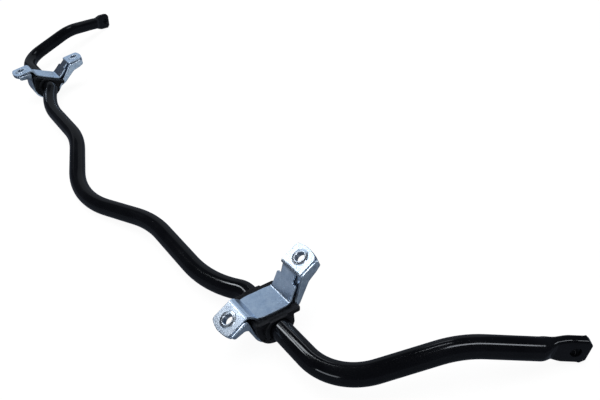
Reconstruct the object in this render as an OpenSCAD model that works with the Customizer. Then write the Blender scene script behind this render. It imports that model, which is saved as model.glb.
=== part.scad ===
// Front sway bar of a small car, with its two rubber bushes and two-piece clamps.
// It lies as it comes to rest on a flat surface: X runs along the bush axis, the arms point to +Y.
// The origin is on that surface, in the middle of the bar's outline seen from above.

/* [Bar tube] */
// Outer diameter of the tube
bar_d = 22; // [20:0.5:23]
// Wall thickness of the tube
bar_wall = 5; // [2.5:0.5:5.5]
// Distance between the two eyes, at the ends of the tube's axis
eye_span = 1155; // [1140:1:1180]
// How far the ends of the tube's axis lie behind the bush axis
eye_back = 192.5; // [185:0.5:205]
// How far the ends of the tube's axis lie below the bush axis
eye_drop = 11; // [8:0.5:16]

/* [Bar bends] */
// Distance of each arm's knee from the centre plane
knee_x = 522; // [515:1:530]
// How far the knee lies behind the bush axis
knee_back = 106; // [100:1:112]
// How far the knee lies above the bush axis
knee_rise = 13; // [10:1:16]
// Where the straight bush stretch turns into the arm
elbow_x = 473.5; // [468:0.5:480]
// Where the straight bush stretch starts
jog_x = 321; // [318:1:324]
// Outer end of the offset stretch beside the bush
offset_x = 278; // [274:1:280]
// How far the offset stretches lie in front of the bush axis
offset_front = 21; // [18:1:24]
// How far the offset stretches lie below the bush axis
offset_drop = 7; // [5:1:9]
// Inner end of the offset stretch
shoulder_x = 135; // [130:1:140]
// How far the point of the middle bend lies in front of the bush axis
middle_front = 74; // [68:1:80]
// How far the point of the middle bend lies below the bush axis
middle_drop = 19; // [16:0.5:21]
// Bend radius of the middle and shoulder bends
wide_bend_r = 150; // [130:5:160]
// Bend radius at the outer end of the offset stretch
offset_bend_r = 170; // [140:5:172]
// Bend radius of the jog onto the bush axis
jog_bend_r = 27.5; // [25:0.5:30]
// Bend radius of the elbow
elbow_bend_r = 63; // [55:1:70]
// Bend radius of the knee
knee_bend_r = 116; // [100:1:130]

/* [Flattened ends] */
// Width of the flattened end
flat_w = 29; // [26:0.5:31]
// Thickness of the flattened end
flat_t = 10; // [8:0.5:11]
// Length from the shoulder of the flattened end to the eye centre
flat_back = 20; // [17:1:24]
// Length from the eye centre to the tip
flat_tip = 12.5; // [10:0.5:14]
// How far the flattened end lies inboard of the tube's axis
flat_shift = 2; // [0:0.5:3]
// Length over which the tube turns flat
flat_blend = 13; // [10:1:18]
// Size of the cut corners
flat_corner = 5; // [3:0.5:6]
// Diameter of the eye that takes the drop link's stud
eye_d = 10.5; // [8.5:0.5:12.5]

/* [Clamps] */
// Distance of the right clamp's middle from the centre plane
right_clamp_x = 362; // [357:1:366]
// Distance of the left clamp's middle from the centre plane
left_clamp_x = 357; // [355:1:366]
// Turn of the right clamp about the bush axis, from its ears lying flat
right_clamp_turn = 24.5; // [14:0.5:30]
// Turn of the left clamp about the bush axis, from its ears lying flat
left_clamp_turn = 4; // [0:0.5:14]
// Thickness of the sheet steel
sheet_t = 2.5; // [2:0.1:3]
// Width of the sheet parts along the bar
clamp_w = 31.5; // [29:0.5:34]
// Gap between the two sheet parts where the ears lie on each other
ear_gap = 0.4; // [0.2:0.1:0.6]
// Slope of the saddle against the ears
saddle_slope = 31.5; // [28:0.5:33]
// Half the length of the saddle
saddle_half = 19; // [18:0.5:20]
// Height of the saddle's underside over the bush axis
saddle_h = 13.2; // [13:0.1:15]
// Height of the front ear's top over the bush axis
front_ear_h = 34.5; // [34:0.5:36]
// Height of the rear ear's top over the bush axis
rear_ear_h = 21; // [20:0.5:22]
// Distance of the front bolt hole from the bush axis
front_hole = 27.8; // [27:0.1:29]
// Distance of the rear bolt hole from the bush axis
rear_hole = 63.2; // [62:0.1:64]
// Bore of the hollow rivets, for an M10 bolt
rivet_bore = 10.2; // [10:0.1:10.8]

/* [Bushes] */
// Radius of the bush's round underside
bush_r = 21.4; // [20.5:0.1:22]
// Half the length of the bush's body
bush_half = 22; // [20:0.5:23]
// Half the length of the bush between the far sides of its lips
lip_half = 25; // [24:0.5:26]
// Half the length of the collar round the bar
collar_half = 27; // [26.5:0.5:28]
// Radius of the collar
collar_r = 16; // [15:0.5:17]
// Radial clearance of the bar in the bush
bush_clear = 0.04; // [0.02:0.01:0.08]

/* [Hidden] */
$fn = 64;
hull_fn = 32;

// Place of the bush axis against the origin
axis_front = 67.5;
axis_h = 27.6;

// Colours
paint = "#17191d";
rubber = "#202226";
zinc = "#b4c1d3";
bright_zinc = "#cdd6de";

// Bar
bend_step = 0.05;
bend_overlap = 0.4;
blend_seat = 0.5;
length_gap = 0.05;
seat_mid_x = 360;
arm_end = [eye_span / 2, eye_back, -eye_drop];
knee = [knee_x, knee_back, knee_rise];
arm_dir = unit(arm_end - knee);
shoulder = [shoulder_x, -offset_front, -offset_drop];
offset_end = [offset_x, -offset_front, -offset_drop];
jog = [jog_x, 0, 0];
elbow = [elbow_x, 0, 0];
middle = [0, -middle_front, -middle_drop];
tube_end = arm_end - arm_dir * (flat_back + flat_blend + blend_seat + length_gap);

// Sheet parts, as lines through the middle of the sheet, in the plane across the bar
ear_bend_r = 3.5;
saddle_bend_r = 3;
front_ear_end = -42;
rear_ear_end = 75.5;
front_fold = -12.5;
rear_fold = 49;
front_plate_z = front_ear_h - sheet_t / 2;
rear_plate_z = rear_ear_h - sheet_t / 2;
saddle_mid_h = saddle_h + sheet_t / 2;
plate_line = [[front_ear_end, front_plate_z],
              [front_fold, front_plate_z],
              turned([-saddle_half, saddle_mid_h], -saddle_slope),
              turned([saddle_half, saddle_mid_h], -saddle_slope),
              [rear_fold, rear_plate_z],
              [rear_ear_end, rear_plate_z]];
plate_radii = [0, ear_bend_r, saddle_bend_r, saddle_bend_r, ear_bend_r, 0];

strap_r = bush_r + 0.1 + sheet_t / 2;
strap_drop = sheet_t + ear_gap;
front_leg_top = [-17, front_plate_z - strap_drop];
rear_leg_top = [50.5, rear_plate_z - strap_drop];
front_touch = direction(front_leg_top) + acos(strap_r / norm(front_leg_top));
rear_touch = direction(rear_leg_top) - acos(strap_r / norm(rear_leg_top)) + 360;
cradle_half_angle = (rear_touch - front_touch) / 2;
cradle_corner = turned([strap_r / cos(cradle_half_angle), 0], (front_touch + rear_touch) / 2);
strap_line = [[front_ear_end, front_leg_top.y],
              front_leg_top,
              cradle_corner,
              rear_leg_top,
              [rear_ear_end, rear_leg_top.y]];
strap_radii = [0, ear_bend_r, strap_r, ear_bend_r, 0];

// Outline of the ears, seen along their bolts
front_ear_arc = 32;
rear_ear_arc = 40;
saddle_bulge = 2;
bulge_from = -2;
bulge_to = 17;
bulge_end = 30;
arc_steps = 8;
neck_w = 19.5;
neck_from = 39.5;
neck_to = 48;
notch_corner = 2;

// Down-turned edges of the strap
flange_t = 2.2;
front_flange = [[-37.5, 29.6], [-36, 24.5], [-24, 22.5], [-20.6, 17], [-19, 19.5], [-17.6, 29], [-20, 30]];
rear_flange = [[72.5, 16.5], [71.5, 9], [64, 6.5], [52, 4.5], [31, -9], [21, -12.3], [23.5, -9.2], [50, 16.2]];

// Hollow rivets
rivet_r = 6.3;
rivet_head_r = 9.2;
rivet_foot_r = 7.4;
rivet_head_t = 1;
rivet_chamfer = 0.8;
rivet_fit = 0.05;

// Bush section, in the plane across the bar and square to the saddle
bush_top = saddle_h - 0.1;
body_front = -24;
shoulder_low = 8;
lip_over = 1;
lip_rear = 26;
lip_gap = 0.3;
slit_w = 0.6;
slit_angle = 215;

function unit(v) = v / norm(v);
function reverse(list) = [for (i = [len(list) - 1:-1:0]) list[i]];
function mirrored(p) = [-p.x, p.y, p.z];
function direction(p) = atan2(p.y, p.x);
function turned(p, a) = [p.x * cos(a) - p.y * sin(a), p.x * sin(a) + p.y * cos(a)];
function left_of(v) = [-v.y, v.x];
// Length that a bend of radius r takes from each of its two legs
function bend_leg(a, b, c, r) = r * tan(acos(unit(b - a) * unit(c - b)) / 2);
function leg_at(path, radii, i) = i == 0 || i == len(path) - 1 ? 0
                                : bend_leg(path[i - 1], path[i], path[i + 1], radii[i]);

// The tube's middle length and its right arm, each from a point on the bush axis, reach further by extra at both ends
function middle_path(extra) =
    let (half = [shoulder, offset_end, jog, [seat_mid_x + extra, 0, 0]])
    concat([for (p = reverse(half)) mirrored(p)], [middle], half);
middle_radii = [0, jog_bend_r, offset_bend_r, wide_bend_r, wide_bend_r, wide_bend_r, offset_bend_r, jog_bend_r, 0];
function arm_path(extra) = [[seat_mid_x + length_gap - extra, 0, 0], elbow, knee, tube_end + arm_dir * extra];
arm_radii = [0, elbow_bend_r, knee_bend_r, 0];

// One side of a bent sheet: the bend's points, at a distance to the left of the middle line
function bend_points(a, b, c, r, off) =
    let (d1 = unit(b - a),
         d2 = unit(c - b),
         side = sign(cross(d1, d2)),
         angle = acos(d1 * d2),
         centre = b - d1 * bend_leg(a, b, c, r) + left_of(d1) * side * r,
         steps = max(3, ceil(angle / 6)))
    [for (i = [0:steps]) centre - turned(left_of(d1), side * angle * i / steps) * side * (r - side * off)];
function sheet_side(line, radii, off) =
    let (last = len(line) - 1)
    concat([line[0] + left_of(unit(line[1] - line[0])) * off],
           [for (i = [1:last - 1]) each bend_points(line[i - 1], line[i], line[i + 1], radii[i], off)],
           [line[last] + left_of(unit(line[last] - line[last - 1])) * off]);
function sheet_outline(line, radii) =
    concat(sheet_side(line, radii, sheet_t / 2), reverse(sheet_side(line, radii, -sheet_t / 2)));

// Outlines of the sheet parts seen along their bolts, from the front tip round the right side to the rear
function arc(centre, r, from, to) =
    [for (i = [0:arc_steps]) centre + turned([r, 0], from + (to - from) * i / arc_steps)];
function front_arc(half) = arc([0, front_ear_end + front_ear_arc], front_ear_arc, -90, asin(half / front_ear_arc) - 90);
function rear_arc(half) = arc([0, rear_ear_end - rear_ear_arc], rear_ear_arc, acos(half / rear_ear_arc), 90);
function both_sides(side) = concat(side, [for (i = [len(side) - 2:-1:1]) [-side[i].x, side[i].y]]);
function neck_side(half) =
    concat([[half, neck_from]],
           arc([neck_w / 2 + notch_corner, neck_from + notch_corner], notch_corner, -90, -180),
           arc([neck_w / 2 + notch_corner, neck_to - notch_corner], notch_corner, 180, 90),
           [[half, neck_to]]);
function plate_plan(half) =
    both_sides(concat(front_arc(half),
                      [[half, front_fold], [half + saddle_bulge, bulge_from], [half + saddle_bulge, bulge_to],
                       [half, bulge_end]],
                      neck_side(half),
                      rear_arc(half)));
function strap_plan(half) = both_sides(concat(front_arc(half), rear_arc(half)));

// Puts a child's X and Y axes along two directions at right angles
module along(origin, x_dir, y_dir) {
    z_dir = cross(x_dir, y_dir);
    multmatrix([[x_dir.x, y_dir.x, z_dir.x, origin.x],
                [x_dir.y, y_dir.y, z_dir.y, origin.y],
                [x_dir.z, y_dir.z, z_dir.z, origin.z]])
        children();
}

module straight(a, b, d) {
    run = unit(b - a);
    level = unit(cross(run, [0, 0, 1]));
    along(a, level, cross(run, level)) cylinder(d = d, h = norm(b - a));
}

// A bend is a hair thinner than the straights and runs a little way into both of them
module bend(a, b, c, r, d) {
    d1 = unit(b - a);
    d2 = unit(c - b);
    inward = unit(d2 - d1 * (d1 * d2));
    centre = b - d1 * bend_leg(a, b, c, r) + inward * r;
    extra = bend_overlap / r * 180 / PI;
    along(centre, -inward, d1)
        rotate([0, 0, -extra])
            rotate_extrude(angle = acos(d1 * d2) + 2 * extra)
                translate([r, 0]) circle(d = d - 2 * bend_step);
}

module sweep(path, radii, d) {
    last = len(path) - 1;
    for (i = [0:last - 1]) {
        run = unit(path[i + 1] - path[i]);
        from = path[i] + run * leg_at(path, radii, i);
        to = path[i + 1] - run * leg_at(path, radii, i + 1);
        straight(from, to, d);
    }
    for (i = [1:last - 1]) bend(path[i - 1], path[i], path[i + 1], radii[i], d);
}

module tube_length(path, path_beyond, radii) {
    difference() {
        sweep(path, radii, bar_d);
        sweep(path_beyond, radii, bar_d - 2 * bar_wall);
    }
}

// Frame of the right eye: X along the arm, Y up, Z along the eye's axis
module at_right_eye() {
    up = unit([0, 0, 1] - arm_dir * arm_dir.z);
    along(arm_end, arm_dir, up) children();
}

module flat_end() {
    half = flat_w / 2;
    translate([0, 0, -flat_shift])
        linear_extrude(height = flat_t, center = true)
            polygon([[-flat_back, -half], [flat_tip - flat_corner, -half], [flat_tip, flat_corner - half],
                     [flat_tip, half - flat_corner], [flat_tip - flat_corner, half], [-flat_back, half]]);
    hull() {
        translate([-flat_back - flat_blend - blend_seat, 0, 0])
            rotate([0, 90, 0]) cylinder(d = bar_d, h = blend_seat, $fn = hull_fn);
        translate([-flat_back, 0, -flat_shift]) cube([1, flat_w, flat_t], center = true);
    }
}

module at_clamp(x, turn) {
    translate([x, -axis_front, axis_h]) rotate([turn, 0, 0]) children();
}

// Draws a shape of the plane across the bar, w wide along the bar
module across(w) {
    rotate([90, 0, 90]) linear_extrude(height = w, center = true) children();
}

module bolt_holes() {
    for (y = [-front_hole, rear_hole])
        translate([0, y, 0]) cylinder(r = rivet_r + rivet_fit, h = 60);
}

module rivet(top) {
    bottom = top - sheet_t - strap_drop;
    bore_r = rivet_bore / 2;
    rotate_extrude()
        polygon([[bore_r, bottom - rivet_head_t + rivet_chamfer],
                 [bore_r + rivet_chamfer, bottom - rivet_head_t],
                 [rivet_foot_r - 0.4, bottom - rivet_head_t],
                 [rivet_foot_r, bottom - rivet_head_t / 2],
                 [rivet_foot_r, bottom],
                 [rivet_r, bottom],
                 [rivet_r, top],
                 [rivet_head_r, top],
                 [rivet_head_r, top + rivet_head_t / 2],
                 [rivet_head_r - 0.4, top + rivet_head_t],
                 [bore_r + rivet_chamfer, top + rivet_head_t],
                 [bore_r, top + rivet_head_t - rivet_chamfer]]);
}

module bush_section() {
    tilt = rear_touch + saddle_slope;
    rear_corner = (bush_r - bush_top * sin(tilt)) / cos(tilt);
    intersection() {
        union() {
            circle(r = bush_r);
            polygon([[body_front, bush_top], [body_front, shoulder_low],
                     turned([bush_r, 0], front_touch + saddle_slope), [0, 0],
                     turned([bush_r, 0], tilt), [rear_corner, bush_top]]);
        }
        below_saddle();
    }
}

module below_saddle() {
    translate([-50, bush_top - 100]) square(100);
}

// The bar is one piece, drawn as five lengths that stop a hair short of each other
module bar() {
    color(paint)
        translate([0, -axis_front, axis_h]) {
            tube_length(middle_path(0), middle_path(1), middle_radii);
            for (side = [0, 1])
                mirror([side, 0, 0]) {
                    tube_length(arm_path(0), arm_path(1), arm_radii);
                    at_right_eye()
                        difference() {
                            flat_end();
                            cylinder(d = eye_d, h = 2 * flat_t, center = true);
                        }
                }
        }
}

module bush() {
    lip_from = clamp_w / 2 + lip_gap;
    lip_w = lip_half - lip_from;
    color(rubber)
        rotate([-saddle_slope, 0, 0])
            difference() {
                union() {
                    across(2 * bush_half) bush_section();
                    for (side = [-1, 1])
                        translate([side * (lip_from + lip_w / 2), 0, 0])
                            across(lip_w)
                                translate([body_front - lip_over, shoulder_low])
                                    square([lip_rear - body_front + lip_over, bush_top - shoulder_low]);
                    across(2 * collar_half)
                        intersection() {
                            circle(r = collar_r);
                            below_saddle();
                        }
                }
                across(3 * collar_half) circle(d = bar_d + 2 * bush_clear);
                across(3 * collar_half) rotate(slit_angle) translate([0, -slit_w / 2]) square([2 * bush_r, slit_w]);
            }
}

module upper_plate() {
    color(zinc)
        difference() {
            intersection() {
                across(2 * clamp_w) polygon(sheet_outline(plate_line, plate_radii));
                translate([0, 0, -10]) linear_extrude(height = 60) polygon(plate_plan(clamp_w / 2));
            }
            bolt_holes();
        }
}

module lower_strap() {
    color(zinc)
        difference() {
            union() {
                intersection() {
                    across(2 * clamp_w) polygon(sheet_outline(strap_line, strap_radii));
                    translate([0, 0, -40]) linear_extrude(height = 100) polygon(strap_plan(clamp_w / 2));
                }
                for (side = [-1, 1])
                    translate([side * (clamp_w - flange_t) / 2, 0, 0]) {
                        across(flange_t) polygon(front_flange);
                        across(flange_t) polygon(rear_flange);
                    }
            }
            bolt_holes();
        }
}

module front_rivet() {
    color(bright_zinc) translate([0, -front_hole, 0]) rivet(front_ear_h);
}

module rear_rivet() {
    color(bright_zinc) translate([0, rear_hole, 0]) rivet(rear_ear_h);
}

module right_bush() { at_clamp(right_clamp_x, right_clamp_turn) bush(); }
module right_upper_plate() { at_clamp(right_clamp_x, right_clamp_turn) upper_plate(); }
module right_lower_strap() { at_clamp(right_clamp_x, right_clamp_turn) lower_strap(); }
module right_front_rivet() { at_clamp(right_clamp_x, right_clamp_turn) front_rivet(); }
module right_rear_rivet() { at_clamp(right_clamp_x, right_clamp_turn) rear_rivet(); }
module left_bush() { at_clamp(-left_clamp_x, left_clamp_turn) bush(); }
module left_upper_plate() { at_clamp(-left_clamp_x, left_clamp_turn) upper_plate(); }
module left_lower_strap() { at_clamp(-left_clamp_x, left_clamp_turn) lower_strap(); }
module left_front_rivet() { at_clamp(-left_clamp_x, left_clamp_turn) front_rivet(); }
module left_rear_rivet() { at_clamp(-left_clamp_x, left_clamp_turn) rear_rivet(); }

bar();
right_bush();
right_upper_plate();
right_lower_strap();
right_front_rivet();
right_rear_rivet();
left_bush();
left_upper_plate();
left_lower_strap();
left_front_rivet();
left_rear_rivet();
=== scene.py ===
"""Sway bar with its bushes and clamps: looks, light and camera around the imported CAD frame."""
import math
import bpy
import bmesh
import numpy as np
from mathutils import Matrix, Vector


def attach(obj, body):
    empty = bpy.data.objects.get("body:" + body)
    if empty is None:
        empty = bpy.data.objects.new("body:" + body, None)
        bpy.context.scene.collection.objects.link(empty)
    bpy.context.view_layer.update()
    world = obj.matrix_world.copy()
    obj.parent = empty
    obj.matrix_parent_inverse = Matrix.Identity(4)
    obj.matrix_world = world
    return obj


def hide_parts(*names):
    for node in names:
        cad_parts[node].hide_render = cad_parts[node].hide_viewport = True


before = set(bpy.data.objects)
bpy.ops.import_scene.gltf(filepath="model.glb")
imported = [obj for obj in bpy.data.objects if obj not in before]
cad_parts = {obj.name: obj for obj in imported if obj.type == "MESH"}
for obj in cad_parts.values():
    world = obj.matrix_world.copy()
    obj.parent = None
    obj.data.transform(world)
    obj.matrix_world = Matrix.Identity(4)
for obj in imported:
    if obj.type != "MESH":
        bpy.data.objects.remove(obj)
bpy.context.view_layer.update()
scene = bpy.context.scene
MM = 0.001

# The bush axis in the row frame, and the two clamps on it: place along the bar and turn
AXIS = np.array([0, -67.5, 27.6])
CLAMPS = {"right": (362, 24.5), "left": (-357, 4)}


def unit(v):
    v = np.asarray(v, float)
    return v / np.linalg.norm(v)


# ---------------------------------------------------------------- materials
def principled(name, **values):
    mat = bpy.data.materials.new(name)
    mat.use_nodes = True
    nodes, links = mat.node_tree.nodes, mat.node_tree.links
    nodes.clear()
    out = nodes.new("ShaderNodeOutputMaterial")
    bsdf = nodes.new("ShaderNodeBsdfPrincipled")
    links.new(bsdf.outputs[0], out.inputs[0])
    for key, value in values.items():
        bsdf.inputs[key.replace("_", " ")].default_value = value
    return mat, nodes, links, bsdf


def noise(nodes, links, scale, detail=2, stretch=None, rough=0.5):
    """A noise texture in the object's own coordinates, stretched if asked; returns its value output."""
    coords = nodes.new("ShaderNodeTexCoord")
    mapping = nodes.new("ShaderNodeMapping")
    if stretch:
        mapping.inputs["Scale"].default_value = stretch
    tex = nodes.new("ShaderNodeTexNoise")
    tex.inputs["Scale"].default_value = scale
    tex.inputs["Detail"].default_value = detail
    tex.inputs["Roughness"].default_value = rough
    links.new(coords.outputs["Object"], mapping.inputs[0])
    links.new(mapping.outputs[0], tex.inputs["Vector"])
    return tex.outputs["Fac"]


def ramp(nodes, links, fac, stops):
    """A colour ramp; stops are (place, colour or grey value)."""
    node = nodes.new("ShaderNodeValToRGB")
    elements = node.color_ramp.elements
    while len(elements) < len(stops):
        elements.new(0.5)
    for e, (pos, col) in zip(elements, stops):
        e.position = pos
        e.color = (*col, 1) if hasattr(col, "__len__") else (col, col, col, 1)
    links.new(fac, node.inputs[0])
    return node.outputs[0]


def bump(nodes, links, bsdf, height, strength, distance, before=None):
    """Adds a bump to a shader's normal, on top of the one before; returns its normal output."""
    node = nodes.new("ShaderNodeBump")
    node.inputs["Strength"].default_value = strength
    node.inputs["Distance"].default_value = distance
    links.new(height, node.inputs["Height"])
    if before:
        links.new(before, node.inputs["Normal"])
    links.new(node.outputs[0], bsdf.inputs["Normal"])
    return node.outputs[0]


def paint_material():
    mat, nodes, links, bsdf = principled("bar_paint", IOR=1.5)
    cloud = noise(nodes, links, 35, 4)
    dark = ramp(nodes, links, cloud, [(0.35, (0.0012, 0.0013, 0.0018)), (0.7, (0.0026, 0.0029, 0.0038))])
    specks = ramp(nodes, links, noise(nodes, links, 650, 1), [(0.80, 0), (0.82, 1)])
    mix = nodes.new("ShaderNodeMix")
    mix.data_type = "RGBA"
    mix.inputs["B"].default_value = (0.06, 0.065, 0.075, 1)
    links.new(specks, mix.inputs["Factor"])
    links.new(dark, mix.inputs["A"])
    links.new(mix.outputs["Result"], bsdf.inputs["Base Color"])
    links.new(ramp(nodes, links, cloud, [(0.3, 0.085), (0.75, 0.15)]), bsdf.inputs["Roughness"])
    first = bump(nodes, links, bsdf, noise(nodes, links, 420, 2), 0.03, 0.0003)
    bump(nodes, links, bsdf, specks, 0.12, 0.0002, first)
    return mat


def rubber_material():
    mat, nodes, links, bsdf = principled("bush_rubber", IOR=1.45)
    cloud = noise(nodes, links, 60, 5, rough=0.6)
    links.new(ramp(nodes, links, cloud, [(0.3, (0.0022, 0.0024, 0.003)), (0.75, (0.006, 0.0068, 0.0085))]),
              bsdf.inputs["Base Color"])
    links.new(ramp(nodes, links, cloud, [(0.3, 0.42), (0.75, 0.62)]), bsdf.inputs["Roughness"])
    bump(nodes, links, bsdf, noise(nodes, links, 1500, 3), 0.12, 0.0002)
    return mat


def zinc_material(name, low, high, rough_low, rough_high):
    mat, nodes, links, bsdf = principled(name, Metallic=1.0)
    cloud = noise(nodes, links, 120, 6, rough=0.72)
    links.new(ramp(nodes, links, cloud, [(0.32, low), (0.68, high)]), bsdf.inputs["Base Color"])
    grain = noise(nodes, links, 260, 5, (9, 1, 1), rough=0.7)
    links.new(ramp(nodes, links, grain, [(0.3, rough_low), (0.72, rough_high)]), bsdf.inputs["Roughness"])
    first = bump(nodes, links, bsdf, grain, 0.10, 0.0002)
    second = bump(nodes, links, bsdf, noise(nodes, links, 700, 3), 0.09, 0.0002, first)
    bump(nodes, links, bsdf, noise(nodes, links, 70, 2), 0.10, 0.0008, second)
    return mat


MATS = {
    "bar_paint": paint_material(),
    "bush_rubber": rubber_material(),
    "zinc_plate": zinc_material("zinc_plate", (0.48, 0.59, 0.74), (0.70, 0.80, 0.92), 0.24, 0.40),
    "zinc_rivet": zinc_material("zinc_rivet", (0.60, 0.69, 0.80), (0.78, 0.85, 0.93), 0.20, 0.32),
}


# Two groups of pieces with lights of their own: black paint and rubber, and bright zinc
LIT = {name: bpy.data.collections.new("lit_" + name) for name in ("black", "zinc")}
GROUP = {"bar_paint": "black", "bush_rubber": "black", "zinc_plate": "zinc", "zinc_rivet": "zinc"}


# ---------------------------------------------------------------- mesh helpers
def plain_object(name, bm):
    """An object in millimetres from a bmesh, with its normals outward."""
    bmesh.ops.recalc_face_normals(bm, faces=bm.faces)
    mesh = bpy.data.meshes.new(name)
    bm.to_mesh(mesh)
    bm.free()
    obj = bpy.data.objects.new(name, mesh)
    scene.collection.objects.link(obj)
    return obj


def finish_object(obj, slot, body, matrix, sharp=35, weighted=True):
    """Places an object, turns it into metres and makes it a finished piece that rides on a body."""
    mesh = obj.data
    mesh.transform(matrix)
    mesh.transform(Matrix.Scale(MM, 4))
    mesh.materials.clear()
    mesh.materials.append(MATS[slot])
    mesh.polygons.foreach_set("use_smooth", [True] * len(mesh.polygons))
    mesh.set_sharp_from_angle(angle=math.radians(sharp))
    if weighted:
        mod = obj.modifiers.new("weighted", "WEIGHTED_NORMAL")
        mod.keep_sharp = True
    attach(obj, body)
    LIT[GROUP[slot]].objects.link(obj)
    return obj


def apply_modifiers(obj):
    """Keeps the mesh that an object's modifiers make."""
    dg = bpy.context.evaluated_depsgraph_get()
    mesh = bpy.data.meshes.new_from_object(obj.evaluated_get(dg))
    obj.modifiers.clear()
    obj.data = mesh


def cut(obj, *cutters):
    """Takes the cutters' shapes away from an object."""
    for c in cutters:
        mod = obj.modifiers.new("cut", "BOOLEAN")
        mod.operation = "DIFFERENCE"
        mod.solver = "EXACT"
        mod.object = c
    apply_modifiers(obj)
    for c in cutters:
        bpy.data.objects.remove(c)


def loft(bm, rings):
    """Quads between rings of points; the first and last are capped."""
    loops = [[bm.verts.new(p) for p in ring] for ring in rings]
    n = len(loops[0])
    for a, b in zip(loops, loops[1:]):
        for i in range(n):
            bm.faces.new((a[i], a[(i + 1) % n], b[(i + 1) % n], b[i]))
    bm.faces.new(loops[0][::-1])
    bm.faces.new(loops[-1])


def lathe(bm, profile, origin, axis, closed=False, steps=64):
    """Turns a profile of (radius, height) about an axis; a closed profile makes a ring, another is capped."""
    axis = unit(axis)
    u = unit(np.cross(axis, [1, 0, 0] if abs(axis[0]) < 0.9 else [0, 1, 0]))
    v = np.cross(axis, u)
    angles = 2 * math.pi * np.arange(steps) / steps
    spokes = [u * math.cos(t) + v * math.sin(t) for t in angles]
    loops = [[bm.verts.new(np.asarray(origin) + axis * h + r * spoke) for spoke in spokes] for r, h in profile]
    pairs = list(zip(loops, loops[1:])) + ([(loops[-1], loops[0])] if closed else [])
    for a, b in pairs:
        for i in range(steps):
            bm.faces.new((a[i], a[(i + 1) % steps], b[(i + 1) % steps], b[i]))
    if not closed:
        bm.faces.new(loops[0][::-1])
        bm.faces.new(loops[-1])


def rounded(points, radius, steps=5):
    """A polygon with its corners rounded; radius is one number or one per corner."""
    points = [np.asarray(p, float) for p in points]
    n = len(points)
    radii = radius if hasattr(radius, "__len__") else [radius] * n
    out = []
    for i, (p, r) in enumerate(zip(points, radii)):
        a, b = unit(points[i - 1] - p), unit(points[(i + 1) % n] - p)
        half = math.acos(np.clip(a @ b, -1, 1)) / 2
        if r <= 0 or half > math.radians(87):
            out.append(p)
            continue
        leg = min(r / math.tan(half), 0.49 * np.linalg.norm(points[i - 1] - p),
                  0.49 * np.linalg.norm(points[(i + 1) % n] - p))
        r = leg * math.tan(half)
        centre = p + unit(a + b) * r / math.sin(half)
        start, end = p + a * leg - centre, p + b * leg - centre
        turn = math.atan2(start[0] * end[1] - start[1] * end[0], start @ end)
        for k in range(steps + 1):
            t = turn * k / steps
            c, s = math.cos(t), math.sin(t)
            out.append(centre + [start[0] * c - start[1] * s, start[0] * s + start[1] * c])
    return out


def inset(loop, dist):
    """A closed outline moved towards its left side by dist, one number or one per corner."""
    loop = np.asarray(loop, float)
    d1, d2 = loop - np.roll(loop, 1, 0), np.roll(loop, -1, 0) - loop
    d1 /= np.linalg.norm(d1, axis=1)[:, None]
    d2 /= np.linalg.norm(d2, axis=1)[:, None]
    n1, n2 = np.stack([-d1[:, 1], d1[:, 0]], 1), np.stack([-d2[:, 1], d2[:, 0]], 1)
    shift = (n1 + n2) / (1 + (n1 * n2).sum(1))[:, None]
    return loop + shift * np.reshape(dist, (-1, 1))


def circle_points(x, y, r, steps=32):
    """A clockwise ring of corners, which slab takes as the edge of a hole."""
    t = 2 * math.pi * np.arange(steps) / steps * -1
    return np.stack([x + r * np.cos(t), y + r * np.sin(t)], 1)


def slab(bm, outline, holes, low, high, low_edge, high_edge=None, place=None):
    """A flat solid from low to high with rounded edges; place turns (a, b, height) into (x, y, z)."""
    high_edge = low_edge if high_edge is None else high_edge
    outline = np.asarray(outline, float)
    area2 = np.sum(outline[:, 0] * np.roll(outline[:, 1], -1) - np.roll(outline[:, 0], -1) * outline[:, 1])
    if area2 < 0:
        outline = outline[::-1]
    steps = [1 - math.cos(math.radians(t)) for t in (90, 60, 30, 0)]
    heights = [1 - math.sin(math.radians(t)) for t in (90, 60, 30, 0)]
    faces = []
    ends = ([], [])
    for k, loop in enumerate([outline] + [circle_points(*h) for h in holes]):
        lo = np.broadcast_to(low_edge if k == 0 else 0.25, (len(loop),))
        hi = np.broadcast_to(high_edge if k == 0 else 0.25, (len(loop),))
        rows = []
        for f, g in zip(steps, heights):
            rows.append([bm.verts.new((*p, low + e * g)) for p, e in zip(inset(loop, lo * f), lo)])
        for f, g in zip(steps[::-1], heights[::-1]):
            rows.append([bm.verts.new((*p, high - e * g)) for p, e in zip(inset(loop, hi * f), hi)])
        n = len(loop)
        for r1, r2 in zip(rows, rows[1:]):
            faces += [bm.faces.new((r1[i], r1[(i + 1) % n], r2[(i + 1) % n], r2[i])) for i in range(n)]
        for end, row in zip(ends, (rows[0], rows[-1])):
            end += [bm.edges.get((row[i], row[(i + 1) % n])) for i in range(n)]
    for end in ends:
        bmesh.ops.triangle_fill(bm, use_beauty=True, use_dissolve=False, edges=end)
    if place:
        for v in {v for f in faces for v in f.verts}:
            v.co = place(*v.co)


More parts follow.
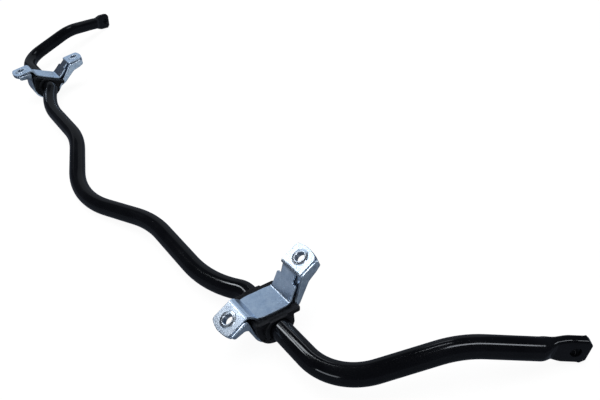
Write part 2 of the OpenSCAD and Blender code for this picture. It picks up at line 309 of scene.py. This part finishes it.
def bend_line(points, radii, step=7.0):
    """The middle line of a bent sheet: its points, their left normals, and their lengths along the line."""
    points = [np.asarray(p, float) for p in points]
    out, normals = [points[0]], []
    d = unit(points[1] - points[0])
    normals.append([-d[1], d[0]])
    for i in range(1, len(points) - 1):
        d1, d2 = unit(points[i] - points[i - 1]), unit(points[i + 1] - points[i])
        turn = math.atan2(d1[0] * d2[1] - d1[1] * d2[0], d1 @ d2)
        r = radii[i]
        side = math.copysign(1, turn)
        n1 = np.array([-d1[1], d1[0]])
        centre = points[i] - d1 * r * math.tan(abs(turn) / 2) + n1 * side * r
        steps = max(3, int(abs(math.degrees(turn)) / step))
        for k in range(steps + 1):
            t = turn * k / steps
            c, q = math.cos(t), math.sin(t)
            n = np.array([n1[0] * c - n1[1] * q, n1[0] * q + n1[1] * c])
            out.append(centre - n * side * r)
            normals.append(n)
    out.append(points[-1])
    d = unit(points[-1] - points[-2])
    normals.append([-d[1], d[0]])
    out, normals = np.array(out), np.array(normals)
    s = np.concatenate([[0], np.cumsum(np.linalg.norm(np.diff(out, axis=0), axis=1))])
    return out, normals, s


def bend_sheet(bm, line):
    """Bends a flat sheet, drawn as (x, length along the line, height), round the line."""
    pts, normals, lengths = line
    for s in lengths[1:-1]:
        bmesh.ops.bisect_plane(bm, geom=bm.verts[:] + bm.edges[:] + bm.faces[:], dist=1e-4,
                               plane_co=(0, float(s), 0), plane_no=(0, 1, 0))
    for v in bm.verts:
        x, s, h = v.co
        py, pz = np.interp(s, lengths, pts[:, 0]), np.interp(s, lengths, pts[:, 1])
        n = np.array([np.interp(s, lengths, normals[:, 0]), np.interp(s, lengths, normals[:, 1])])
        n /= np.linalg.norm(n)
        v.co = (x, py + n[0] * h, pz + n[1] * h)


# ---------------------------------------------------------------- the bar
# Its centre line from the bush axis: the eye, the arm's outer bend, and the corners from the middle to there
EYE = np.array([577.5, 192.5, -11.0])
KNEE = np.array([522.0, 106.0, 13.0])
HALF = [(135, -21, -7), (278, -21, -7), (321, 0, 0), (473.5, 0, 0), tuple(KNEE)]
HALF_R = [150, 170, 27.5, 63, 116]
# The tube's radius, and the flattened ends: half width, half thickness, lengths from the eye to the tip, back to
# the press shoulder and of its blend into the tube, and how far the flat lies inboard of the tube's axis
TUBE_R, FLAT_HALF, FLAT_T, TIP, SHOULDER, BLEND, INBOARD = 10.96, 14.5, 5.0, 12.5, 20.0, 13.5, 2.0
SIDES = 72


def bar_centres():
    """Points and tangents along the bar's centre line from left to right, between the flattened ends."""
    mirror = lambda p: (-p[0], p[1], p[2])
    pts = [mirror(EYE)] + [mirror(p) for p in HALF[::-1]] + [(0, -74, -19)] + HALF + [EYE]
    pts = [np.array(p, float) for p in pts]
    radii = [0] + HALF_R[::-1] + [150] + HALF_R + [0]
    out = []
    for i in range(1, len(pts) - 1):
        d1, d2 = unit(pts[i] - pts[i - 1]), unit(pts[i + 1] - pts[i])
        angle = math.acos(d1 @ d2)
        r = radii[i]
        inward = unit(d2 - d1 * (d1 @ d2))
        centre = pts[i] - d1 * r * math.tan(angle / 2) + inward * r
        n = max(4, int(math.degrees(angle) / 2.5))
        for k in range(n + 1):
            t = angle * k / n
            c, q = math.cos(t), math.sin(t)
            out.append((centre - inward * r * c + d1 * r * q, d1 * c + inward * q))
    return out


def section(centre, tangent, half_w, half_t, corner):
    """A ring of points round the bar: a rounded rectangle, half_w up and half_t across."""
    up = unit(np.array([0, 0, 1.0]) - tangent * tangent[2])
    across = np.cross(tangent, up)
    ring = []
    for k in range(SIDES):
        t = 2 * math.pi * (k + 0.5) / SIDES
        c, s = math.cos(t), math.sin(t)
        a = math.copysign(half_w - corner, c) + corner * c
        b = math.copysign(half_t - corner, s) + corner * s
        ring.append(centre + up * a + across * b)
    return ring


def flat_profile(u):
    """Half thickness at u mm before the eye centre: round tube, press shoulder, flat."""
    x = (u - SHOULDER) / BLEND
    if x >= 1:
        return TUBE_R
    if x <= 0:
        return FLAT_T
    return FLAT_T + (TUBE_R - FLAT_T) * math.sin(math.pi / 2 * x) ** 1.15


def flat_width(u):
    """Half width at u mm before the eye centre: it opens out past the shoulder."""
    x = min(1, max(0, (25 - u) / 17))
    pinch = 0.35 * max(0, 1 - abs(u - 25) / 7)
    return TUBE_R - pinch + (FLAT_HALF - TUBE_R) * x * x * (3 - 2 * x)


def end_rings(eye, direction):
    """Rings from the tube to the tip of one flattened end."""
    rings = []
    up = unit(np.array([0, 0, 1.0]) - direction * direction[2])
    inboard = -np.cross(direction, up)
    us = [SHOULDER + BLEND - i for i in range(int(BLEND) + 1)]
    us += [SHOULDER + 0.6, SHOULDER + 0.3, SHOULDER - 0.4]
    us += [SHOULDER - 1 - i for i in range(14)]
    for u in sorted(set(us), reverse=True):
        half_t = sum(flat_profile(x) for x in (u - 0.6, u, u + 0.6)) / 3
        soft = min(1, max(0, (SHOULDER + BLEND - u) / BLEND))
        centre = eye - direction * u + inboard * INBOARD * soft
        rings.append(section(centre, direction, flat_width(u), half_t, half_t * (0.999 - 0.24 * soft)))
    # distance past the eye, half width, half thickness and edge radius of the flat's last rings
    flat = [(TIP - 7, FLAT_HALF, FLAT_T, 3.7), (TIP - 5.9, FLAT_HALF, FLAT_T, 3.2),
            (TIP - 5.2, 14.4, FLAT_T, 2.4), (TIP - 4.5, 13.9, FLAT_T, 1.9),
            (TIP - 1.1, 10.9, FLAT_T, 1.7), (TIP - 0.5, 10.2, FLAT_T, 1.5),
            (TIP - 0.12, 9.8, FLAT_T - 0.35, 1.2), (TIP, 9.2, FLAT_T - 0.9, 0.9),
            (TIP, 8.3, 0.42, 0.4), (TIP - 1.2, 8.1, 0.2, 0.19)]
    for u, w, half_t, c in flat:
        rings.append(section(eye + direction * u + inboard * INBOARD, direction, w, half_t, c))
    return rings


def eye_cutter(eye, axis):
    """The eye's bore with a small chamfer at both sides."""
    bm = bmesh.new()
    r = 5.25
    profile = [(r + 1.2, -FLAT_T - 0.7), (r + 0.45, -FLAT_T + 0.02), (r, -FLAT_T + 0.45), (r, FLAT_T - 0.45),
               (r + 0.45, FLAT_T - 0.02), (r + 1.2, FLAT_T + 0.7)]
    lathe(bm, profile, eye, axis)
    return plain_object("cutter", bm)


def make_bar():
    direction = unit(EYE - KNEE)
    right_end = end_rings(EYE, direction)
    left_end = [[p * [-1, 1, 1] for p in ring] for ring in right_end]
    tube = [section(c, t, TUBE_R, TUBE_R, TUBE_R * 0.999) for c, t in bar_centres()]
    bm = bmesh.new()
    loft(bm, left_end[::-1] + tube + right_end)
    obj = plain_object("bar_visual", bm)
    up = unit(np.array([0, 0, 1.0]) - direction * direction[2])
    axis = np.cross(direction, up)
    right_eye = EYE - axis * INBOARD
    cut(obj, eye_cutter(right_eye, axis), eye_cutter(right_eye * [-1, 1, 1], axis * [-1, 1, 1]))
    finish_object(obj, "bar_paint", "bar", Matrix.Translation(Vector(AXIS)), sharp=38, weighted=False)
    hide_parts("bar")


# ---------------------------------------------------------------- the clamps
def turned(p, degrees):
    c, q = math.cos(math.radians(degrees)), math.sin(math.radians(degrees))
    return np.array([p[0] * c - p[1] * q, p[0] * q + p[1] * c])


# Slope of the saddle, and the sheet's thickness and half width
SLOPE = 31.5
SHEET = 2.5
HALF_W = 15.75
# Where the two ears end, and the radii of their round ends
FRONT_TIP, REAR_TIP = -42, 75.5
FRONT_ARC, REAR_ARC = 32, 40
# Middle lines of the two sheet parts, seen along the bar, and the radii of their bends
PLATE = [(FRONT_TIP, 33.25), (-12.5, 33.25), (-8.65, 22.25), (7.39, 12.06), (23.75, 2.39), (49, 19.75),
         (REAR_TIP, 19.75)]
PLATE_R = [0, 4.5, 3, 250, 4, 8, 0]
# The strap's round part under the bush: its middle radius and the directions at which it ends
STRAP_R = 22.75
FRONT_TOUCH, REAR_TOUCH = 168.4, 313.7
CRADLE_FAR = STRAP_R / math.cos(math.radians((REAR_TOUCH - FRONT_TOUCH) / 2))
CRADLE = turned((CRADLE_FAR, 0), (FRONT_TOUCH + REAR_TOUCH) / 2)
STRAP = [(FRONT_TIP, 30.35), (-17, 30.35), tuple(CRADLE), (50.5, 16.85), (REAR_TIP, 16.85)]
STRAP_RADII = [0, 3.5, STRAP_R, 3.5, 0]
# How far the strap lies below the plate, and how much wider it is at its down-turned edges
STRAP_DROP = 2.9
STRAP_EXTRA = 0.8
# Place and height of the ears' tops at the rivets, and the rivets' hole, shank and head radii
FRONT_RIVET, REAR_RIVET = (-27.8, 34.5), (63.2, 21.0)
HOLE_R, SHANK_R, HEAD_R, FOOT_R, RIVET_BORE_R = 6.35, 6.25, 9.2, 7.4, 5.1
# Side views of the strap's down-turned edges
FRONT_FLANGE = [(-37.5, 29.8), (-36.3, 25.0), (-24.3, 22.7), (-20.6, 17), (-19, 19.5), (-17.6, 29), (-20, 30.2)]
REAR_FLANGE = [(72.5, 16.6), (71.5, 9.2), (64, 6.7), (52, 4.7), (31, -8.9), (21, -12.3), (23.5, -9.2),
               (50, 16.4)]


def arc_points(cy, r, start, end, steps=14):
    t = np.radians(np.linspace(start, end, steps + 1))
    return [(r * math.cos(a), cy + r * math.sin(a)) for a in t]


def ear_outline(half, middle):
    """The plan of a sheet on its +x side from the front ear's tip to the rear ear's, mirrored to both sides."""
    front = arc_points(FRONT_TIP + FRONT_ARC, FRONT_ARC, -90, math.degrees(math.asin(half / FRONT_ARC)) - 90)
    rear = arc_points(REAR_TIP - REAR_ARC, REAR_ARC, math.degrees(math.acos(half / REAR_ARC)), 90)
    # each arc's corner with the straight side is rounded by three points
    corner = [(0.8, 0.35), (0.15, 1.4), (0, 2.8)]
    front_y, rear_y = front[-1][1], rear[0][1]
    front = front[:-1] + [(half - a, front_y + b) for a, b in corner]
    rear = [(half - a, rear_y - b) for a, b in corner[::-1]] + rear[1:]
    side = front + middle + rear
    return side + [(-x, y) for x, y in side[-2:0:-1]]


def to_lengths(plan, line):
    """Plan places (x, y) as (x, length along the bent line)."""
    pts, _, lengths = line
    return [(x, float(np.interp(y, pts[:, 0], lengths))) for x, y in plan]


def upper_plate_bmesh():
    line = bend_line(PLATE, PLATE_R)
    neck, corner = 9.75, 2.0
    middle = [(HALF_W, -12.5), (HALF_W + 0.4, -9), (HALF_W + 1.6, -4), (HALF_W + 2, -1), (HALF_W + 2, 16),
              (HALF_W + 1.6, 20), (HALF_W + 0.4, 27), (HALF_W, 31)]
    lower = [(HALF_W, 38.3), (HALF_W - 0.4, 39.2), (HALF_W - 1.2, 39.5)]
    hook = [(neck + corner * (1 - math.sin(t)), 39.5 + corner * (1 - math.cos(t)))
            for t in np.radians([0, 22.5, 45, 67.5, 90])]
    hook += [(neck + corner * (1 - math.cos(t)), 46 + corner * math.sin(t))
             for t in np.radians([0, 22.5, 45, 67.5, 90])]
    upper = [(HALF_W - 1.2, 48), (HALF_W - 0.4, 48.3), (HALF_W, 49.2)]
    plan = ear_outline(HALF_W, middle + lower + hook + upper)
    holes = [(0, float(np.interp(y, line[0][:, 0], line[2])), HOLE_R) for y in (FRONT_RIVET[0], REAR_RIVET[0])]
    bm = bmesh.new()
    slab(bm, to_lengths(plan, line), holes, -SHEET / 2, SHEET / 2, 0.45)
    bend_sheet(bm, line)
    return bm


def lower_strap_bmesh():
    line = bend_line(STRAP, STRAP_RADII)
    total = line[2][-1]
    plan = ear_outline(HALF_W, [])
    outline = [(x, y - FRONT_TIP) if y < 15 else (x, total - (REAR_TIP - y)) for x, y in plan]
    extra = lambda s: STRAP_EXTRA * max(min(1, max(0, (21 - s) / 5)), min(1, max(0, (s - total + 50) / 6)))
    # more corners on the long sides, so that the fold over each down-turned edge can be rounder
    dense = []
    for p, q in zip(outline, outline[1:] + outline[:1]):
        dense.append(p)
        if abs(q[1] - p[1]) > 20:
            n = 60
            dense += [(p[0] + (q[0] - p[0]) * k / n, p[1] + (q[1] - p[1]) * k / n) for k in range(1, n)]
    # lengths between which the edges turn down, from the front ear and to the rear one
    front_to, rear_from = 25, total - 56
    edge = [0.45 + 1.55 * (max(0, min(1, (s - 5) / 4, (front_to - s) / 4))
                          + max(0, min(1, (s - rear_from) / 6, (total - 4 - s) / 4)))
            if abs(x) > HALF_W - 0.01 else 0.45 for x, s in dense]
    dense = [(x + extra(s) * x / HALF_W, s) for x, s in dense]
    holes = [(0, FRONT_RIVET[0] - FRONT_TIP, HOLE_R), (0, total - (REAR_TIP - REAR_RIVET[0]), HOLE_R)]
    bm = bmesh.new()
    area2 = sum(p[0] * q[1] - q[0] * p[1] for p, q in zip(dense, dense[1:] + dense[:1]))
    if area2 < 0:
        dense, edge = dense[::-1], edge[::-1]
    slab(bm, dense, holes, -SHEET / 2, SHEET / 2, 0.35, np.array(edge))
    bend_sheet(bm, line)
    for side in (-1, 1):
        low = -HALF_W - STRAP_EXTRA if side < 0 else HALF_W + STRAP_EXTRA - 2.2
        for flange in (FRONT_FLANGE, REAR_FLANGE):
            radii = [0, 3, 4, 3, 1, 1, 0] if flange is FRONT_FLANGE else [0, 2.5, 6, 8, 8, 0.8, 1, 0]
            slab(bm, rounded(flange, radii), [], low, low + 2.2, 0.5, place=lambda a, b, h: (h, a, b))
    return bm


def bush_bmesh():
    """The split bush, upright: its body, a collar round the bar at each end and the lips beside the saddle."""
    bm = bmesh.new()
    r, collar, bore, slit, slit_at, top = 21.4, 16, 11.04, 0.3, 215, 13.1
    place = lambda a, b, h: (h, a, b)

    def ring(angle_from, angle_to, radius, steps):
        return [turned((radius, 0), a) for a in np.linspace(angle_from, angle_to, steps + 1)]

    def with_slit(outer_before, outer_after, radius):
        d, e = math.degrees(math.asin(slit / radius)), math.degrees(math.asin(slit / bore))
        inner = ring(slit_at - e, slit_at + e - 360, bore, 96)
        ends = turned((radius, 0), slit_at - d), turned((radius, 0), slit_at + d)
        return outer_before + [ends[0]] + inner + [ends[1]] + outer_after

    left = rounded([(-24, 8), (-24, top), (25.5, top), (0, 0)], [0, 1.6, 1.6, 0])
    top_side = [p for p in left if not (abs(p[0]) < 1e-6 and abs(p[1]) < 1e-6)]
    top_side = [p for p in top_side if p[1] > 8 + 1e-6]
    before = ring(199.9, slit_at - 2, r, 6)
    after = ring(slit_at + 2, 345.2, r, 44)
    body = with_slit([(-24, 8.0)] + before, after + top_side[::-1], r)
    slab(bm, body, [], -22, 22, 1.0, place=place)
    for side in (-1, 1):
        half = math.degrees(math.acos(top / collar))
        arc1 = ring(90 + half, slit_at - 2, collar, 24)
        arc2 = ring(slit_at + 2, 360 + 90 - half, collar, 50)
        low = 21 if side > 0 else -27
        slab(bm, with_slit(arc1, arc2, collar), [], low, low + 6, 1.3, place=place)
        plan = rounded([(16.1, -25), (25, -25), (25, 26), (16.1, 26)], [1, 4.5, 2.5, 1])
        plan = [(x * side, y) for x, y in plan]
        slab(bm, plan, [], 8, top, 0.9, place=lambda a, b, h: (a, b, h))
    return bm


def rivet_bmesh(top):
    """A hollow rivet with a wide rolled head on the plate and a small one under the strap."""
    bottom = top - SHEET - STRAP_DROP
    upper = [(RIVET_BORE_R, 0.0), (5.12, 0.2), (5.28, 0.6), (5.65, 0.88), (6.15, 0.98), (6.75, 0.9),
             (7.4, 0.66), (8.2, 0.56), (8.8, 0.5), (9.1, 0.34), (HEAD_R, 0.1), (HEAD_R, 0.0), (SHANK_R, 0.0)]
    lower = [(RIVET_BORE_R, 0.0), (5.12, 0.25), (5.35, 0.62), (5.75, 0.88), (6.2, 0.98), (6.7, 0.93),
             (7.1, 0.7), (7.35, 0.35), (FOOT_R, 0.1), (FOOT_R, 0.0), (SHANK_R, 0.0)]
    profile = [(r, top + h) for r, h in upper] + [(r, bottom - h) for r, h in lower[::-1]]
    bm = bmesh.new()
    lathe(bm, profile, (0, 0, 0), (0, 0, 1), closed=True)
    return bm


def make_clamp(side):
    x, turn = CLAMPS[side]
    place = Matrix.Translation((x, AXIS[1], AXIS[2])) @ Matrix.Rotation(math.radians(turn), 4, "X")
    body = side + "_clamp"
    plate = finish_object(plain_object(side + "_plate_visual", upper_plate_bmesh()), "zinc_plate", body, place)
    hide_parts(side + "_upper_plate")
    strap = finish_object(plain_object(side + "_strap_visual", lower_strap_bmesh()), "zinc_plate", body, place)
    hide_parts(side + "_lower_strap")
    bush = finish_object(plain_object(side + "_bush_visual", bush_bmesh()), "bush_rubber", body,
                         place @ Matrix.Rotation(math.radians(-SLOPE), 4, "X"))
    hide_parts(side + "_bush")
    for name, (y, top) in (("front", FRONT_RIVET), ("rear", REAR_RIVET)):
        rivet = finish_object(plain_object(side + "_" + name + "_rivet_visual", rivet_bmesh(top)), "zinc_rivet",
                              body, place @ Matrix.Translation((0, y, 0)), sharp=50)
        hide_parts(side + "_" + name + "_rivet")


# ---------------------------------------------------------------- camera, floor and light
def make_camera():
    cam = bpy.data.cameras.new("camera")
    cam.sensor_width = 36
    cam.lens = 38.89
    cam.clip_end = 60
    obj = bpy.data.objects.new("camera", cam)
    right = Vector((0.576, 0.8096, -0.1125)).normalized()
    back = Vector((0.685, -0.4044, 0.6053))
    back = (back - right * back.dot(right)).normalized()
    up = back.cross(right)
    m = Matrix((right, up, back)).transposed().to_4x4()
    m.translation = Vector((0.7743, -0.2522, 0.5029))
    obj.matrix_world = m
    scene.collection.objects.link(obj)
    scene.camera = obj


def make_floor():
    mesh = bpy.data.meshes.new("floor")
    s = 30
    mesh.from_pydata([(-s, -s, 0), (s, -s, 0), (s, s, 0), (-s, s, 0)], [], [(0, 1, 2, 3)])
    floor = bpy.data.objects.new("floor", mesh)
    floor.location.z = -0.0003
    floor.visible_glossy = False
    floor.visible_shadow = False
    scene.collection.objects.link(floor)
    mat, nodes, links, bsdf = principled("floor", Base_Color=(0.10, 0.10, 0.10, 1), Roughness=0.95,
                                         Emission_Color=(1, 1, 1, 1), Emission_Strength=0.94)
    bsdf.inputs["Specular IOR Level"].default_value = 0.0
    mesh.materials.append(mat)


def area(name, direction, distance, target, size, radiance, color=(1, 1, 1), glossy=True, along=None,
         only=None):
    """A soft box seen from target in a direction, with its brightness as radiance, for all or one group."""
    light = bpy.data.lights.new(name, "AREA")
    light.shape = "RECTANGLE"
    light.size, light.size_y = size
    light.energy = radiance * math.pi * size[0] * size[1]
    light.color = color
    obj = bpy.data.objects.new(name, light)
    d = Vector(direction).normalized()
    obj.location = Vector(target) + d * distance
    if along:
        x = Vector(along)
        x = (x - d * x.dot(d)).normalized()
        obj.rotation_euler = Matrix((x, d.cross(x), d)).transposed().to_euler()
    else:
        obj.rotation_euler = d.to_track_quat("Z", "Y").to_euler()
    obj.visible_glossy = glossy
    obj.visible_camera = False
    scene.collection.objects.link(obj)
    if only:
        obj.light_linking.receiver_collection = LIT[only]
    return obj


def make_light():
    """A dim sky for reflections, white for the camera, and the soft boxes."""
    world = bpy.data.worlds.new("world")
    world.use_nodes = True
    nodes, links = world.node_tree.nodes, world.node_tree.links
    back = nodes["Background"]
    coords = nodes.new("ShaderNodeTexCoord")
    split = nodes.new("ShaderNodeSeparateXYZ")
    links.new(coords.outputs["Generated"], split.inputs[0])
    up = nodes.new("ShaderNodeMapRange")
    up.inputs["From Min"].default_value = -1
    links.new(split.outputs["Z"], up.inputs["Value"])
    sky = ramp(nodes, links, up.outputs[0], [(0.0, (0.06, 0.07, 0.09)), (0.48, (0.09, 0.105, 0.135)),
                                             (0.56, (0.04, 0.045, 0.06)), (1.0, (0.025, 0.028, 0.035))])
    links.new(sky, back.inputs[0])
    white = nodes.new("ShaderNodeBackground")
    white.inputs[0].default_value = (0.945, 0.945, 0.945, 1)
    path = nodes.new("ShaderNodeLightPath")
    mix = nodes.new("ShaderNodeMixShader")
    links.new(path.outputs["Is Camera Ray"], mix.inputs[0])
    links.new(back.outputs[0], mix.inputs[1])
    links.new(white.outputs[0], mix.inputs[2])
    links.new(mix.outputs[0], nodes["World Output"].inputs[0])
    scene.world = world
    near = (0.36, -0.07, 0.03)
    area("soft_top", (0, 0, 1), 2.6, (0, 0, 0), (3.2, 3.2), 2.8, glossy=False)
    # the bar and the bushes: a narrow key, long strips overhead and a dim wall
    knee = (0.525, 0.04, 0.045)
    area("key", (-0.59, -0.26, 0.77), 2.4, (0.3, -0.07, 0), (0.46, 0.42), 10, (0.88, 0.94, 1.0), only="black")
    area("key_b", (-0.57, 0.02, 0.82), 2.4, (0.43, -0.07, 0.04), (0.62, 0.12), 9, (0.88, 0.94, 1.0),
         along=(0, 1, 0.1), only="black")
    area("low_strip", (-0.61, 0.52, 0.60), 2.6, (0.43, -0.07, 0.035), (0.5, 0.28), 1.5, (0.84, 0.91, 1.0),
         only="black")
    area("front_panel", (0.06, -0.95, 0.28), 2.4, (0.465, -0.07, 0.035), (1.2, 0.36), 3.5, (0.84, 0.91, 1.0),
         only="black")
    area("strip", (0.397, 0.251, 0.883), 2.2, knee, (1.33, 0.36), 6.5, (0.86, 0.92, 1.0),
         along=(0.28, 0.44, -0.25), only="black")
    area("strip_b", (-0.30, 0.26, 0.92), 2.2, knee, (0.42, 0.12), 7.0, (0.86, 0.92, 1.0),
         along=(0.15, 0.14, 0.01), only="black")
    area("wall", (-0.82, 0.46, 0.33), 3.5, (0, 0, 0), (5.0, 2.1), 0.14, (0.84, 0.92, 1.0), only="black")
    # the zinc sheets: a wide blue wall, panels for the saddles, ears and edges, and two for the other sides
    area("sheet_wall", (-0.80, 0.45, 0.42), 3.5, (0, 0, 0), (4.6, 3.2), 0.62, (0.70, 0.84, 1.0), only="zinc")
    area("sheet_mid", (-0.67, 0.06, 0.74), 2.4, near, (1.1, 0.9), 0.9, (0.80, 0.90, 1.0), only="zinc")
    area("sheet_key", (-0.64, -0.28, 0.72), 2.4, near, (0.55, 0.45), 5.5, only="zinc")
    area("sheet_rim", (0.71, -0.15, 0.69), 2.2, near, (1.1, 0.7), 8, along=(0.69, 0.1, -0.70), only="zinc")
    area("sheet_card", (-0.64, -0.77, -0.06), 2.5, near, (1.8, 0.8), 0.34, (0.78, 0.88, 1.0), only="zinc")
    area("sheet_front", (0.93, 0.13, -0.34), 3.0, (-0.357, -0.07, 0.03), (2.5, 0.9), 0.6, (0.85, 0.95, 1.0),
         only="zinc")
    area("sheet_south", (0.25, -0.85, 0.45), 3.0, (0, 0, 0), (3.5, 2.0), 1.0, (0.84, 0.92, 1.0), only="zinc")
    area("sheet_north", (0.45, 0.80, 0.35), 3.0, (0, 0, 0), (3.0, 2.0), 0.9, (0.84, 0.92, 1.0), only="zinc")
    scene.view_settings.view_transform = "Standard"


make_camera()
make_floor()
make_bar()
for side_name in CLAMPS:
    make_clamp(side_name)
make_light()
